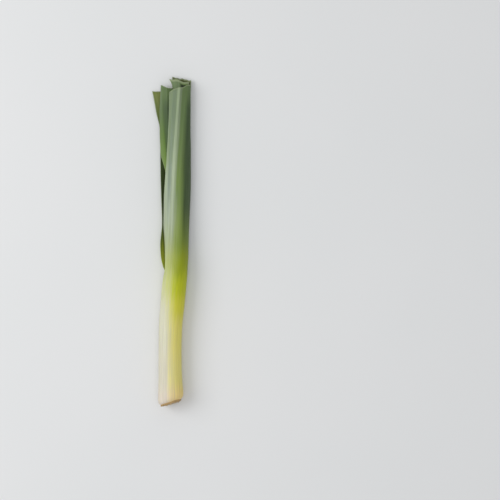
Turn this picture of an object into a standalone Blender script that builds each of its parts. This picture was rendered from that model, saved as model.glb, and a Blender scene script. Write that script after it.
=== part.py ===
"""A baby leek, washed and trimmed at both ends, lying on a surface.

Frame: +Y runs from the root plate to the leaf tips, +X is to the right seen from above, +Z is up.
z = 0 is the surface, and the origin is on it, under the middle of the leek's length and width.
Every length below is in millimetres, and every "along" is counted from the root end.
"""

import math
import random
from collections import namedtuple

import bpy
from mathutils import Vector

MM = 0.001

# The middle of the whole leek: how far it is from the root end, and where it is across
MIDDLE_ALONG = 99.36
MIDDLE_X = -3.45

GAP = 0.3

# Shank: the closed, tightly rolled leaf sheaths
THROAT = 78.0
SHANK_BASE = 3.3
SHANK_SIDES = 28
SHANK_REST = 0.2
KEEL_RIDGE = 0.18
SHANK_RADIUS = [
    (SHANK_BASE, 6.3),
    (3.9, 6.9),
    (4.8, 7.35),
    (6.5, 7.55),
    (10.0, 7.4),
    (20.0, 6.95),
    (34.0, 6.85),
    (48.0, 7.05),
    (62.0, 7.3),
    (THROAT, 7.2),
]
AXIS_X = [(0.0, -3.6), (10.0, -3.9), (30.0, -4.25), (46.0, -4.0), (62.0, -2.7), (THROAT, -1.2)]

# Root plate: the disc that the sheaths grow from, sliced off slightly askew
ROOT_FACE = 2.1
ROOT_DOME = 0.3
ROOT_RADIUS = 6.1
ROOT_SIDES = 24
# The plate's profile in front of its back: how far each ring is from the face, and its share of the radius
ROOT_PROFILE = [(-ROOT_DOME, 0.5), (-0.7 * ROOT_DOME, 0.8), (0.0, 0.96), (0.4, 1.0)]
ROOT_BACK_SHARE = 0.98
BASE_SKEW_X = 0.30
BASE_SKEW_Z = 0.09
SKEW_ENDS = 16.0
STUB_RINGS = [(1.1, 3), (2.9, 7), (4.8, 12)]
STUB_RADIUS = 0.5
STUB_OUT = (0.35, 0.8)
STUB_SINK = 0.8
STUB_SIDES = 6
STUB_TAPER = 0.8
STUB_LEAN = 0.10
STUB_SPREAD = 0.2

# Leaf blades
BLADE_THICKNESS = 0.8
RING_STEP = 1.2
KEEL_AT_THROAT = math.radians(116.0)
FLANK_PARTS = [8, 8, 7, 6, 5, 4]
CUT_SLANT_STARTS = 16.0

# A cross-section of a blade: its margins and its keel as (x, z), and how far each flank turns, in degrees
Section = namedtuple("Section", "along left keel right turn_left turn_right")
# A blade: the turns are those of its flanks where it leaves the shank, in degrees
Leaf = namedtuple("Leaf", "name ring keel_up turn_left turn_right cut_slope sections")

LEAVES = [
    Leaf("leaf_1", 0, True, 98, 160, 0.33, [
        Section(81.0, (-6.5, 4.1), (-4.1, 13.5), (4.3, 1.95), 88, 156),
        Section(84.0, (-6.5, 4.8), (-3.9, 13.5), (4.6, 2.0), 82, 152),
        Section(90.0, (-6.95, 5.0), (-3.6, 13.4), (6.3, 2.6), 76, 124),
        Section(97.0, (-7.5, 5.4), (-3.2, 13.3), (6.9, 3.0), 64, 98),
        Section(110.0, (-8.3, 6.0), (-2.6, 13.1), (7.4, 3.3), 52, 78),
        Section(125.0, (-8.0, 6.4), (-2.1, 12.7), (7.9, 3.5), 44, 64),
        Section(140.0, (-6.85, 7.45), (-1.4, 12.2), (8.1, 3.8), 40, 58),
        Section(146.0, (-6.2, 8.15), (-1.0, 12.0), (8.1, 3.9), 36, 55),
        Section(152.0, (-5.9, 8.25), (-0.6, 11.7), (8.1, 4.0), 34, 52),
        Section(165.0, (-5.1, 8.25), (0.3, 11.2), (8.1, 4.2), 30, 48),
        Section(178.0, (-4.8, 7.9), (1.1, 10.7), (8.1, 4.3), 28, 44),
        Section(191.5, (-4.4, 7.6), (2.0, 10.2), (8.1, 4.4), 26, 42),
    ]),
    Leaf("leaf_2", 1, False, 56, 110, -0.05, [
        Section(81.0, (-7.2, 2.75), (1.45, 1.4), (2.4, 12.0), 58, 110),
        Section(84.0, (-8.6, 4.05), (1.5, 1.3), (3.2, 11.0), 60, 110),
        Section(90.0, (-9.8, 5.4), (1.3, 0.9), (3.8, 9.8), 66, 104),
        Section(97.0, (-10.1, 5.8), (0.9, 0.5), (4.1, 8.3), 60, 94),
        Section(110.0, (-9.2, 5.2), (0.5, 0.2), (5.0, 7.0), 55, 84),
        Section(125.0, (-9.5, 4.2), (0.2, 0.0), (5.4, 5.2), 46, 76),
        Section(140.0, (-10.1, 3.3), (-0.2, 0.0), (5.0, 3.2), 37, 56),
        Section(152.0, (-10.2, 2.6), (-0.6, 0.0), (4.0, 1.5), 29, 38),
        Section(165.0, (-10.3, 1.9), (-1.6, 0.0), (3.6, 0.5), 22, 14),
        Section(178.0, (-12.9, 1.5), (-3.4, 0.0), (3.2, 0.3), 17, 8),
        Section(189.5, (-15.3, 1.3), (-5.5, 0.0), (2.6, 0.0), 14, 2),
    ]),
    Leaf("leaf_3", 2, True, 99, 72, -0.34, [
        Section(84.0, (-5.0, 4.3), (-3.2, 11.5), (2.1, 10.2), 96, 70),
        Section(90.0, (-5.6, 4.6), (-3.0, 11.8), (2.0, 9.7), 84, 64),
        Section(97.0, (-5.9, 5.0), (-2.7, 11.7), (2.0, 9.4), 72, 58),
        Section(110.0, (-6.3, 5.6), (-2.4, 11.4), (2.0, 9.2), 58, 52),
        Section(125.0, (-6.6, 5.8), (-2.2, 10.9), (2.0, 8.9), 48, 46),
        Section(140.0, (-6.9, 5.0), (-2.4, 9.5), (1.9, 8.4), 40, 40),
        Section(146.0, (-8.3, 4.5), (-3.0, 8.6), (1.4, 8.0), 36, 34),
        Section(152.0, (-9.8, 4.2), (-3.9, 7.8), (0.8, 7.8), 34, 32),
        Section(165.0, (-10.4, 3.7), (-5.2, 7.1), (-0.4, 6.8), 28, 28),
        Section(178.0, (-10.4, 3.5), (-6.0, 6.7), (-1.4, 6.0), 26, 26),
        Section(192.0, (-9.8, 3.4), (-6.3, 6.2), (-2.4, 5.3), 24, 24),
    ]),
    Leaf("leaf_4", 3, False, 90, 70, -0.22, [
        Section(84.0, (-4.4, 5.8), (0.4, 3.7), (2.4, 7.2), 88, 66),
        Section(90.0, (-4.2, 6.0), (0.35, 3.2), (2.8, 7.3), 80, 66),
        Section(97.0, (-4.2, 5.9), (0.35, 2.6), (3.0, 7.0), 74, 66),
        Section(110.0, (-4.2, 5.2), (0.4, 2.0), (3.6, 6.3), 62, 62),
        Section(125.0, (-4.2, 4.2), (0.6, 1.6), (4.2, 5.7), 50, 58),
        Section(140.0, (-4.0, 3.4), (0.9, 1.5), (4.8, 5.0), 38, 50),
        Section(152.0, (-3.7, 2.9), (1.2, 1.5), (5.8, 4.5), 30, 40),
        Section(165.0, (-3.4, 2.5), (1.5, 1.4), (6.9, 3.6), 24, 34),
        Section(178.0, (-3.1, 2.2), (1.9, 1.3), (7.6, 3.0), 20, 28),
        Section(197.4, (-2.8, 1.9), (2.5, 1.1), (8.4, 2.6), 16, 24),
    ]),
    Leaf("leaf_5", 4, True, 80, 84, -0.17, [
        Section(84.0, (-3.2, 6.3), (-2.1, 9.3), (0.9, 7.9), 78, 80),
        Section(90.0, (-3.0, 6.3), (-1.9, 9.4), (1.2, 8.0), 70, 74),
        Section(97.0, (-2.8, 6.2), (-1.5, 9.3), (1.4, 7.4), 64, 70),
        Section(110.0, (-2.7, 5.8), (-0.8, 8.8), (2.0, 6.8), 56, 62),
        Section(125.0, (-2.4, 5.2), (0.1, 7.9), (3.0, 6.1), 50, 54),
        Section(140.0, (-2.1, 4.7), (0.8, 7.1), (4.2, 5.7), 44, 48),
        Section(152.0, (-1.8, 4.4), (1.3, 6.6), (4.9, 5.2), 38, 44),
        Section(165.0, (-1.6, 4.2), (1.6, 6.3), (5.8, 4.8), 32, 38),
        Section(178.0, (-1.5, 4.1), (1.6, 6.0), (6.3, 4.4), 28, 34),
        Section(188.0, (-2.0, 4.1), (1.4, 5.8), (6.6, 4.3), 26, 32),
        Section(192.6, (-2.9, 4.0), (1.3, 5.7), (6.7, 4.2), 25, 31),
        Section(196.1, (-4.7, 3.8), (1.2, 5.5), (7.0, 4.0), 24, 30),
    ]),
    Leaf("leaf_6", 5, False, 76, 76, -0.2, [
        Section(84.0, (-2.2, 6.6), (-0.5, 5.5), (0.6, 7.0), 66, 66),
        Section(90.0, (-2.0, 6.6), (-0.3, 5.3), (0.9, 6.8), 64, 64),
        Section(97.0, (-1.6, 6.3), (0.0, 4.9), (1.2, 6.4), 62, 62),
        Section(110.0, (-1.2, 5.6), (0.4, 4.0), (1.8, 5.7), 58, 58),
        Section(125.0, (-0.6, 4.8), (0.8, 3.4), (2.2, 4.8), 54, 54),
        Section(140.0, (-0.3, 4.5), (1.2, 3.3), (2.7, 4.6), 56, 56),
        Section(152.0, (-0.1, 4.2), (1.4, 3.1), (3.0, 4.3), 58, 58),
        Section(165.0, (0.1, 3.9), (1.6, 2.9), (3.2, 4.0), 60, 60),
        Section(178.0, (0.2, 3.8), (1.7, 2.8), (3.4, 3.9), 60, 60),
        Section(194.0, (0.2, 3.6), (1.8, 2.6), (3.5, 3.7), 58, 60),
    ]),
]

COLOURS = {
    "shank": (0.72, 0.68, 0.42),
    "root_plate": (0.55, 0.36, 0.16),
    "leaf": (0.16, 0.27, 0.10),
}
ROUGHNESS = {"shank": 0.38, "root_plate": 0.75, "leaf": 0.45}


def clear_scene():
    for obj in list(bpy.data.objects):
        bpy.data.objects.remove(obj, do_unlink=True)


def material(name):
    """A plain finish for one kind of piece."""
    made = bpy.data.materials.get(name) or bpy.data.materials.new(name)
    made.use_nodes = True
    shader = made.node_tree.nodes["Principled BSDF"]
    shader.inputs["Base Color"].default_value = (*COLOURS[name], 1.0)
    shader.inputs["Roughness"].default_value = ROUGHNESS[name]
    shader.inputs["Metallic"].default_value = 0.0
    return made


def track_value(track, at):
    """The value at a place on the smooth curve through (place, value) points, which never overshoots them."""
    if at <= track[0][0]:
        return track[0][1]
    if at >= track[-1][0]:
        return track[-1][1]
    steps = [b[0] - a[0] for a, b in zip(track, track[1:])]
    rises = [(b[1] - a[1]) / step for a, b, step in zip(track, track[1:], steps)]
    slopes = [rises[0]]
    for before, after in zip(rises, rises[1:]):
        slopes.append(2 * before * after / (before + after) if before * after > 0 else 0.0)
    slopes.append(rises[-1])
    i = max(k for k in range(len(steps)) if track[k][0] <= at)
    t = (at - track[i][0]) / steps[i]
    ease = t * t * (3 - 2 * t)
    start = track[i][1] + (track[i + 1][1] - track[i][1]) * ease
    return start + steps[i] * t * (1 - t) * ((1 - t) * slopes[i] - t * slopes[i + 1])


def smooth_step(x):
    x = min(1.0, max(0.0, x))
    return x * x * (3 - 2 * x)


def shank_centre(along):
    """The shank's axis, as (x, z), where a slight flat is pressed into its underside."""
    radius = track_value(SHANK_RADIUS, max(along, SHANK_RADIUS[3][0]))
    return track_value(AXIS_X, along), radius - SHANK_REST


def base_skew(along, from_axis_x, from_axis_z):
    """How far the askew cut at the root end moves a point along the leek."""
    share = 1.0 - smooth_step((along - SHANK_BASE) / (SKEW_ENDS - SHANK_BASE))
    return share * (BASE_SKEW_X * from_axis_x + BASE_SKEW_Z * from_axis_z)


def from_root(x, along, z):
    """A point given by its distance from the root end, in the leek's frame."""
    return (x - MIDDLE_X, along - MIDDLE_ALONG, z)


def new_object(name, vertices, faces, finish):
    """An object from points in millimetres."""
    mesh = bpy.data.meshes.new(name)
    mesh.from_pydata([Vector(v) * MM for v in vertices], [], faces)
    mesh.materials.append(material(finish))
    obj = bpy.data.objects.new(name, mesh)
    bpy.context.scene.collection.objects.link(obj)
    mesh.shade_smooth()
    mesh.set_sharp_from_angle(angle=math.radians(40))
    return obj


def triangle_pair(a, b, c, d):
    """The two triangles of the face a, b, c, d, split from a to c."""
    return [(a, b, c), (a, c, d)]


def closed_loft(rings):
    """Points and triangles of a closed body through rings of points, listed counterclockwise seen from +Y."""
    sides = len(rings[0])
    vertices = [p for ring in rings for p in ring]
    faces = []
    for i in range(len(rings) - 1):
        for j in range(sides):
            near, far = i * sides, (i + 1) * sides
            k = (j + 1) % sides
            faces += triangle_pair(near + j, near + k, far + k, far + j)
    last = (len(rings) - 1) * sides
    faces.append(tuple(reversed(range(sides))))
    faces.append(tuple(last + j for j in range(sides)))
    return vertices, faces


def shank_ring(along, radius, sides, flat=True):
    """A ring of points round the shank's axis, with the keel's ridge and the flat underneath."""
    x0, z0 = shank_centre(along)
    ring = []
    for j in range(sides):
        turn = KEEL_AT_THROAT - 2 * math.pi * j / sides
        ridge = KEEL_RIDGE if j == 0 else 0.0
        dx = (radius + ridge) * math.cos(turn)
        dz = (radius + ridge) * math.sin(turn)
        z = max(z0 + dz, 0.0) if flat else z0 + dz
        ring.append(from_root(x0 + dx, along + base_skew(along, dx, dz), z))
    return ring


def make_shank():
    places = [along for along, _ in SHANK_RADIUS]
    rings = [shank_ring(s, track_value(SHANK_RADIUS, s), SHANK_SIDES) for s in places]
    vertices, faces = closed_loft(rings)
    return new_object("shank", vertices, faces, "shank")


def root_stub(centre, outward, length, turn):
    """A cut root: a short tapering prism that starts inside the plate."""
    across = outward.orthogonal().normalized()
    up = outward.cross(across)
    start = centre - outward * STUB_SINK
    end = centre + outward * length
    rings = []
    for place, radius in ((start, STUB_RADIUS), (end, STUB_RADIUS * STUB_TAPER)):
        turns = [turn - 2 * math.pi * j / STUB_SIDES for j in range(STUB_SIDES)]
        rings.append([place + (across * math.cos(a) + up * math.sin(a)) * radius for a in turns])
    vertices, faces = closed_loft(rings)
    return new_object("root_stub", vertices, faces, "root_plate")


def make_root_plate():
    """The disc with its ring of cut roots, joined into one body."""
    face, back = ROOT_FACE, SHANK_BASE - GAP
    outline = [(face + ahead, share) for ahead, share in ROOT_PROFILE] + [(back, ROOT_BACK_SHARE)]
    rings = [shank_ring(s, share * ROOT_RADIUS, ROOT_SIDES, flat=False) for s, share in outline]
    plate = new_object("root_plate", *closed_loft(rings), "root_plate")
    x0, z0 = shank_centre(face)
    draw = random.Random(7)
    stubs = bpy.data.collections.new("root_stubs")
    bpy.context.scene.collection.children.link(stubs)
    for radius, count in STUB_RINGS:
        for k in range(count):
            turn = 2 * math.pi * (k + draw.uniform(-STUB_SPREAD, STUB_SPREAD)) / count
            dx, dz = radius * math.cos(turn), radius * math.sin(turn)
            centre = Vector(from_root(x0 + dx, face + base_skew(face, dx, dz), z0 + dz))
            lean = STUB_LEAN * radius
            outward = Vector((lean * math.cos(turn) + BASE_SKEW_X, -1.0, lean * math.sin(turn)))
            stub = root_stub(centre, outward.normalized(), draw.uniform(*STUB_OUT), turn)
            bpy.context.scene.collection.objects.unlink(stub)
            stubs.objects.link(stub)
    join = plate.modifiers.new("join_roots", "BOOLEAN")
    join.operation = "UNION"
    join.operand_type = "COLLECTION"
    join.collection = stubs
    join.solver = "EXACT"
    apply_modifiers(plate)
    for stub in list(stubs.objects):
        bpy.data.objects.remove(stub, do_unlink=True)
    bpy.data.collections.remove(stubs)
    return plate


def apply_modifiers(obj):
    """Replaces the object's mesh by what its modifiers make of it."""
    graph = bpy.context.evaluated_depsgraph_get()
    made = bpy.data.meshes.new_from_object(obj.evaluated_get(graph))
    obj.modifiers.clear()
    obj.data = made


def throat_section(leaf):
    """The leaf where it leaves the shank: part of a ring, with its keel above or below."""
    x0, z0 = shank_centre(THROAT)
    radius = track_value(SHANK_RADIUS, THROAT) - leaf.ring * RING_STEP
    keel = KEEL_AT_THROAT if leaf.keel_up else KEEL_AT_THROAT - math.pi
    side = 1.0 if leaf.keel_up else -1.0

    def on_ring(turn):
        return x0 + radius * math.cos(turn), z0 + radius * math.sin(turn)

    left = on_ring(keel + side * math.radians(leaf.turn_left))
    right = on_ring(keel - side * math.radians(leaf.turn_right))
    return Section(THROAT + GAP, left, on_ring(keel), right, leaf.turn_left, leaf.turn_right)


def blade_section(sections, along):
    """The cross-section at a place between the given ones."""

    def at(pick):
        return track_value([(s.along, pick(s)) for s in sections], along)

    return Section(
        along,
        (at(lambda s: s.left[0]), at(lambda s: s.left[1])),
        (at(lambda s: s.keel[0]), at(lambda s: s.keel[1])),
        (at(lambda s: s.right[0]), at(lambda s: s.right[1])),
        at(lambda s: s.turn_left),
        at(lambda s: s.turn_right),
    )


def flank(keel, margin, turning, parts):
    """Points along the arc from the keel to a margin, which turns by that many degrees."""
    half = math.radians(turning) / 2
    chord = complex(margin[0] - keel[0], margin[1] - keel[1])
    points = []
    for k in range(1, parts + 1):
        t = k / parts
        reach = math.sin(half * t) / math.sin(half)
        swing = -half * (1 - t)
        to_point = chord * reach * complex(math.cos(swing), math.sin(swing))
        points.append((keel[0] + to_point.real, keel[1] + to_point.imag))
    return points


def section_points(leaf, sections, along):
    """The blade's outer face at one place, from its left margin over the keel to its right one."""
    cut = blade_section(sections, along)
    side = 1.0 if leaf.keel_up else -1.0
    parts = FLANK_PARTS[leaf.ring]
    left = flank(cut.keel, cut.left, side * cut.turn_left, parts)
    right = flank(cut.keel, cut.right, -side * cut.turn_right, parts)
    line = [*reversed(left), cut.keel, *right]
    end = sections[-1].along
    slant = leaf.cut_slope * smooth_step((along - end + CUT_SLANT_STARTS) / CUT_SLANT_STARTS)
    middle = (line[0][0] + line[-1][0]) / 2
    return [from_root(x, along + slant * (x - middle), max(z, 0.0)) for x, z in line]


def stations(sections):
    """Where the blade is cut into strips: closer together where it opens at the throat."""
    start, end = sections[0].along, sections[-1].along
    near = [start, start + 3.0, start + 6.5, start + 11.0, start + 17.0, start + 25.0]
    count = round((end - near[-1]) / 10.0)
    return near + [near[-1] + (end - near[-1]) * k / count for k in range(1, count + 1)]


def make_leaf(leaf):
    """A blade: its outer face, given its thickness on the inside."""
    sections = [throat_section(leaf), *leaf.sections]
    lines = [section_points(leaf, sections, s) for s in stations(sections)]
    across = len(lines[0])
    vertices = [p for line in lines for p in line]
    faces = []
    for i in range(len(lines) - 1):
        for j in range(across - 1):
            near, far = i * across, (i + 1) * across
            corners = (near + j, near + j + 1, far + j + 1, far + j)
            faces += triangle_pair(*(corners if leaf.keel_up else reversed(corners)))
    blade = new_object(leaf.name, vertices, faces, "leaf")
    wall = blade.modifiers.new("thickness", "SOLIDIFY")
    wall.thickness = BLADE_THICKNESS * MM
    wall.offset = -1.0
    wall.use_even_offset = True
    return blade


def main():
    clear_scene()
    make_shank()
    make_root_plate()
    for leaf in LEAVES:
        make_leaf(leaf)


main()
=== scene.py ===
"""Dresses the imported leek: detailed leaves, sheath and root plate, materials, floor, light and camera.

Lengths are in millimetres until a mesh is made, and every "along" is counted from the root end.
A cross-section of a leaf is a row of complex numbers, x + iz, from its left margin over the keel to
its right one.
"""

import math
import random
from collections import namedtuple

import bmesh
import bpy
import numpy as np
from mathutils import Matrix, Vector


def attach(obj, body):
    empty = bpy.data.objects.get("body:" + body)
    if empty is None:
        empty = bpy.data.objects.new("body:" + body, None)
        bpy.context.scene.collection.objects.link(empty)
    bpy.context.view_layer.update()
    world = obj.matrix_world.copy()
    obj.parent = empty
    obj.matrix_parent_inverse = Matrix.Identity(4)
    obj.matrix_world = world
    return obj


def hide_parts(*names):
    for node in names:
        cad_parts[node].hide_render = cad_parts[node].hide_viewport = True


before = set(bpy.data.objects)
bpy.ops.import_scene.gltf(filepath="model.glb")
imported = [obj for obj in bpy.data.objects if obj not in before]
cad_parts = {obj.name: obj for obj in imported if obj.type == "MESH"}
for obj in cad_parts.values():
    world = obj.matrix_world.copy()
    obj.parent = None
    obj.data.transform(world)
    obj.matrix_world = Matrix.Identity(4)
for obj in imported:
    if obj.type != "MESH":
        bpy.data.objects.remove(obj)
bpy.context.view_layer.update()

MM = 0.001

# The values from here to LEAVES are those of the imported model's own shapes

# The middle of the leek's length and width, where the frame's origin is
MIDDLE_ALONG = 99.36
MIDDLE_X = -3.45
# How far past the throat the solids' blades start
GAP = 0.3

THROAT = 78.0
SHANK_BASE = 3.3
SHANK_REST = 0.2
SHANK_RADIUS = [
    (2.8, 5.7),
    (3.05, 6.05),
    (SHANK_BASE, 6.4),
    (3.9, 6.95),
    (4.8, 7.35),
    (6.5, 7.55),
    (10.0, 7.4),
    (20.0, 6.95),
    (34.0, 6.85),
    (48.0, 7.05),
    (62.0, 7.3),
    (THROAT, 7.2),
]
SHANK_WIDEST = 6.5
AXIS_X = [(0.0, -3.6), (10.0, -3.9), (30.0, -4.25), (46.0, -4.0), (62.0, -2.7), (THROAT, -1.2)]

ROOT_FACE = 2.1
ROOT_DOME = 0.3
ROOT_RADIUS = 6.1
BASE_SKEW_X = 0.30
BASE_SKEW_Z = 0.09
SKEW_ENDS = 16.0
STUB_RINGS = [(1.1, 3), (2.9, 7), (4.8, 12)]
STUB_RADIUS = 0.5
STUB_OUT = (0.35, 0.8)
STUB_SINK = 0.8
STUB_SEED = 7
STUB_SPREAD = 0.2
STUB_LEAN = 0.10

RING_STEP = 1.2
KEEL_AT_THROAT = math.radians(116.0)
CUT_SLANT_STARTS = 16.0

# A cross-section of a blade: its margins and its keel as (x, z), and how far each flank turns, in
# degrees
Section = namedtuple("Section", "along left keel right turn_left turn_right")
# A blade: the turns are those of its flanks where it leaves the shank, in degrees
Leaf = namedtuple("Leaf", "name ring keel_up turn_left turn_right cut_slope sections")

LEAVES = [
    Leaf("leaf_1", 0, True, 98, 160, 0.33, [
        Section(81.0, (-6.5, 4.1), (-4.1, 13.5), (4.3, 1.95), 88, 156),
        Section(84.0, (-6.5, 4.8), (-3.9, 13.5), (4.6, 2.0), 82, 152),
        Section(90.0, (-6.95, 5.0), (-3.6, 13.4), (6.3, 2.6), 76, 124),
        Section(97.0, (-7.5, 5.4), (-3.2, 13.3), (6.9, 3.0), 64, 98),
        Section(110.0, (-8.3, 6.0), (-2.6, 13.1), (7.4, 3.3), 52, 78),
        Section(125.0, (-8.0, 6.4), (-2.1, 12.7), (7.9, 3.5), 44, 64),
        Section(140.0, (-6.85, 7.45), (-1.4, 12.2), (8.1, 3.8), 40, 58),
        Section(146.0, (-6.2, 8.15), (-1.0, 12.0), (8.1, 3.9), 36, 55),
        Section(152.0, (-5.9, 8.25), (-0.6, 11.7), (8.1, 4.0), 34, 52),
        Section(165.0, (-5.1, 8.25), (0.3, 11.2), (8.1, 4.2), 30, 48),
        Section(178.0, (-4.8, 7.9), (1.1, 10.7), (8.1, 4.3), 28, 44),
        Section(191.5, (-4.4, 7.6), (2.0, 10.2), (8.1, 4.4), 26, 42),
    ]),
    Leaf("leaf_2", 1, False, 56, 110, -0.05, [
        Section(81.0, (-7.2, 2.75), (1.45, 1.4), (2.4, 12.0), 58, 110),
        Section(84.0, (-8.6, 4.05), (1.5, 1.3), (3.2, 11.0), 60, 110),
        Section(90.0, (-9.8, 5.4), (1.3, 0.9), (3.8, 9.8), 66, 104),
        Section(97.0, (-10.1, 5.8), (0.9, 0.5), (4.1, 8.3), 60, 94),
        Section(110.0, (-9.2, 5.2), (0.5, 0.2), (5.0, 7.0), 55, 84),
        Section(125.0, (-9.5, 4.2), (0.2, 0.0), (5.4, 5.2), 46, 76),
        Section(140.0, (-10.1, 3.3), (-0.2, 0.0), (5.0, 3.2), 37, 56),
        Section(152.0, (-10.2, 2.6), (-0.6, 0.0), (4.0, 1.5), 29, 38),
        Section(165.0, (-10.3, 1.9), (-1.6, 0.0), (3.6, 0.5), 22, 14),
        Section(178.0, (-12.9, 1.5), (-3.4, 0.0), (3.2, 0.3), 17, 8),
        Section(189.5, (-15.3, 1.3), (-5.5, 0.0), (2.6, 0.0), 14, 2),
    ]),
    Leaf("leaf_3", 2, True, 99, 72, -0.34, [
        Section(84.0, (-5.0, 4.3), (-3.2, 11.5), (2.1, 10.2), 96, 70),
        Section(90.0, (-5.6, 4.6), (-3.0, 11.8), (2.0, 9.7), 84, 64),
        Section(97.0, (-5.9, 5.0), (-2.7, 11.7), (2.0, 9.4), 72, 58),
        Section(110.0, (-6.3, 5.6), (-2.4, 11.4), (2.0, 9.2), 58, 52),
        Section(125.0, (-6.6, 5.8), (-2.2, 10.9), (2.0, 8.9), 48, 46),
        Section(140.0, (-6.9, 5.0), (-2.4, 9.5), (1.9, 8.4), 40, 40),
        Section(146.0, (-8.3, 4.5), (-3.0, 8.6), (1.4, 8.0), 36, 34),
        Section(152.0, (-9.8, 4.2), (-3.9, 7.8), (0.8, 7.8), 34, 32),
        Section(165.0, (-10.4, 3.7), (-5.2, 7.1), (-0.4, 6.8), 28, 28),
        Section(178.0, (-10.4, 3.5), (-6.0, 6.7), (-1.4, 6.0), 26, 26),
        Section(192.0, (-9.8, 3.4), (-6.3, 6.2), (-2.4, 5.3), 24, 24),
    ]),
    Leaf("leaf_4", 3, False, 90, 70, -0.22, [
        Section(84.0, (-4.4, 5.8), (0.4, 3.7), (2.4, 7.2), 88, 66),
        Section(90.0, (-4.2, 6.0), (0.35, 3.2), (2.8, 7.3), 80, 66),
        Section(97.0, (-4.2, 5.9), (0.35, 2.6), (3.0, 7.0), 74, 66),
        Section(110.0, (-4.2, 5.2), (0.4, 2.0), (3.6, 6.3), 62, 62),
        Section(125.0, (-4.2, 4.2), (0.6, 1.6), (4.2, 5.7), 50, 58),
        Section(140.0, (-4.0, 3.4), (0.9, 1.5), (4.8, 5.0), 38, 50),
        Section(152.0, (-3.7, 2.9), (1.2, 1.5), (5.8, 4.5), 30, 40),
        Section(165.0, (-3.4, 2.5), (1.5, 1.4), (6.9, 3.6), 24, 34),
        Section(178.0, (-3.1, 2.2), (1.9, 1.3), (7.6, 3.0), 20, 28),
        Section(197.4, (-2.8, 1.9), (2.5, 1.1), (8.4, 2.6), 16, 24),
    ]),
    Leaf("leaf_5", 4, True, 80, 84, -0.17, [
        Section(84.0, (-3.2, 6.3), (-2.1, 9.3), (0.9, 7.9), 78, 80),
        Section(90.0, (-3.0, 6.3), (-1.9, 9.4), (1.2, 8.0), 70, 74),
        Section(97.0, (-2.8, 6.2), (-1.5, 9.3), (1.4, 7.4), 64, 70),
        Section(110.0, (-2.7, 5.8), (-0.8, 8.8), (2.0, 6.8), 56, 62),
        Section(125.0, (-2.4, 5.2), (0.1, 7.9), (3.0, 6.1), 50, 54),
        Section(140.0, (-2.1, 4.7), (0.8, 7.1), (4.2, 5.7), 44, 48),
        Section(152.0, (-1.8, 4.4), (1.3, 6.6), (4.9, 5.2), 38, 44),
        Section(165.0, (-1.6, 4.2), (1.6, 6.3), (5.8, 4.8), 32, 38),
        Section(178.0, (-1.5, 4.1), (1.6, 6.0), (6.3, 4.4), 28, 34),
        Section(188.0, (-2.0, 4.1), (1.4, 5.8), (6.6, 4.3), 26, 32),
        Section(192.6, (-2.9, 4.0), (1.3, 5.7), (6.7, 4.2), 25, 31),
        Section(196.1, (-4.7, 3.8), (1.2, 5.5), (7.0, 4.0), 24, 30),
    ]),
    Leaf("leaf_6", 5, False, 76, 76, -0.2, [
        Section(84.0, (-2.2, 6.6), (-0.5, 5.5), (0.6, 7.0), 66, 66),
        Section(90.0, (-2.0, 6.6), (-0.3, 5.3), (0.9, 6.8), 64, 64),
        Section(97.0, (-1.6, 6.3), (0.0, 4.9), (1.2, 6.4), 62, 62),
        Section(110.0, (-1.2, 5.6), (0.4, 4.0), (1.8, 5.7), 58, 58),
        Section(125.0, (-0.6, 4.8), (0.8, 3.4), (2.2, 4.8), 54, 54),
        Section(140.0, (-0.3, 4.5), (1.2, 3.3), (2.7, 4.6), 56, 56),
        Section(152.0, (-0.1, 4.2), (1.4, 3.1), (3.0, 4.3), 58, 58),
        Section(165.0, (0.1, 3.9), (1.6, 2.9), (3.2, 4.0), 60, 60),
        Section(178.0, (0.2, 3.8), (1.7, 2.8), (3.4, 3.9), 60, 60),
        Section(194.0, (0.2, 3.6), (1.8, 2.6), (3.5, 3.7), 58, 60),
    ]),
]

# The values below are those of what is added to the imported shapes

# How finely the meshes are divided: along the leek, and round each flank, the sheath's gap and a rim
STATION_STEP = 2.0
BASE_STATIONS = [2.8, 3.05, SHANK_BASE, 3.6, 3.9, 4.35, 4.8, 5.6, 6.5, 8.0]
EVEN_STATIONS_FROM = 10.0
FLANK_PARTS = {
    "leaf_1": (66, 96),
    "leaf_2": (60, 60),
    "leaf_3": (56, 50),
    "leaf_4": (50, 50),
    "leaf_5": (46, 46),
    "leaf_6": (32, 32),
}
GAP_PARTS = 60
RIM_PARTS = 3
SHARP_FROM = math.radians(48.0)

# A blade's thickness at its margins, on its flanks and at its keel, and how quickly it changes
MARGIN_THICKNESS = 0.42
FLANK_THICKNESS = 0.72
KEEL_THICKNESS = 0.9
THINNING_RUN = 3.0
KEEL_THICK_WIDTH = 1.2

# Its keel, veins and unevenness
KEEL_SOFT = 0.45
KEEL_RIDGE = 0.11
KEEL_RIDGE_WIDTH = 0.6
VEIN_SPACING = 1.05
VEIN_RELIEF = 0.022
VEIN_FADE = 1.0
UNEVEN = 0.07
UNEVEN_SPACING = (9.0, 30.0, 9.0)

# The waves of its margins, which come in past the throat, and of its cut end
MARGIN_WAVE = 0.16
MARGIN_WAVE_SPACING = (5.0, 11.0, 5.0)
MARGIN_WAVE_WIDTH = 1.6
MARGIN_WAVE_RUN = 8.0
MARGINS_APART = 9.0
CUT_WAVE = 0.22
CUT_WAVE_SPACING = (2.6, 1.0, 1.0)
CUT_WAVES = 5
CUT_WAVE_RUN = 5.0
CUT_BEVEL = 0.07

# The sheath's mouth on the underside, how deep in it the inner leaves start, and how evenly the sheath
# turns into a blade
LIP_TAPER = 0.75
LIP_TAPER_RUN = 5.0
MOUTH_DIP = 2.4
MOUTH_RUN = 8.0
MOUTH_FLOOR = 1.2
LEAF_ROOT = 4.0
TURN_SOFT = 3.0
TURN_SOFT_REACH = 7.0

# How far in the rings that close the sheath's base and its mouth are pulled
BASE_PULL = (0.3, 0.6, 0.85)
MOUTH_PULL = (0.12, 0.4, 0.7)

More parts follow.
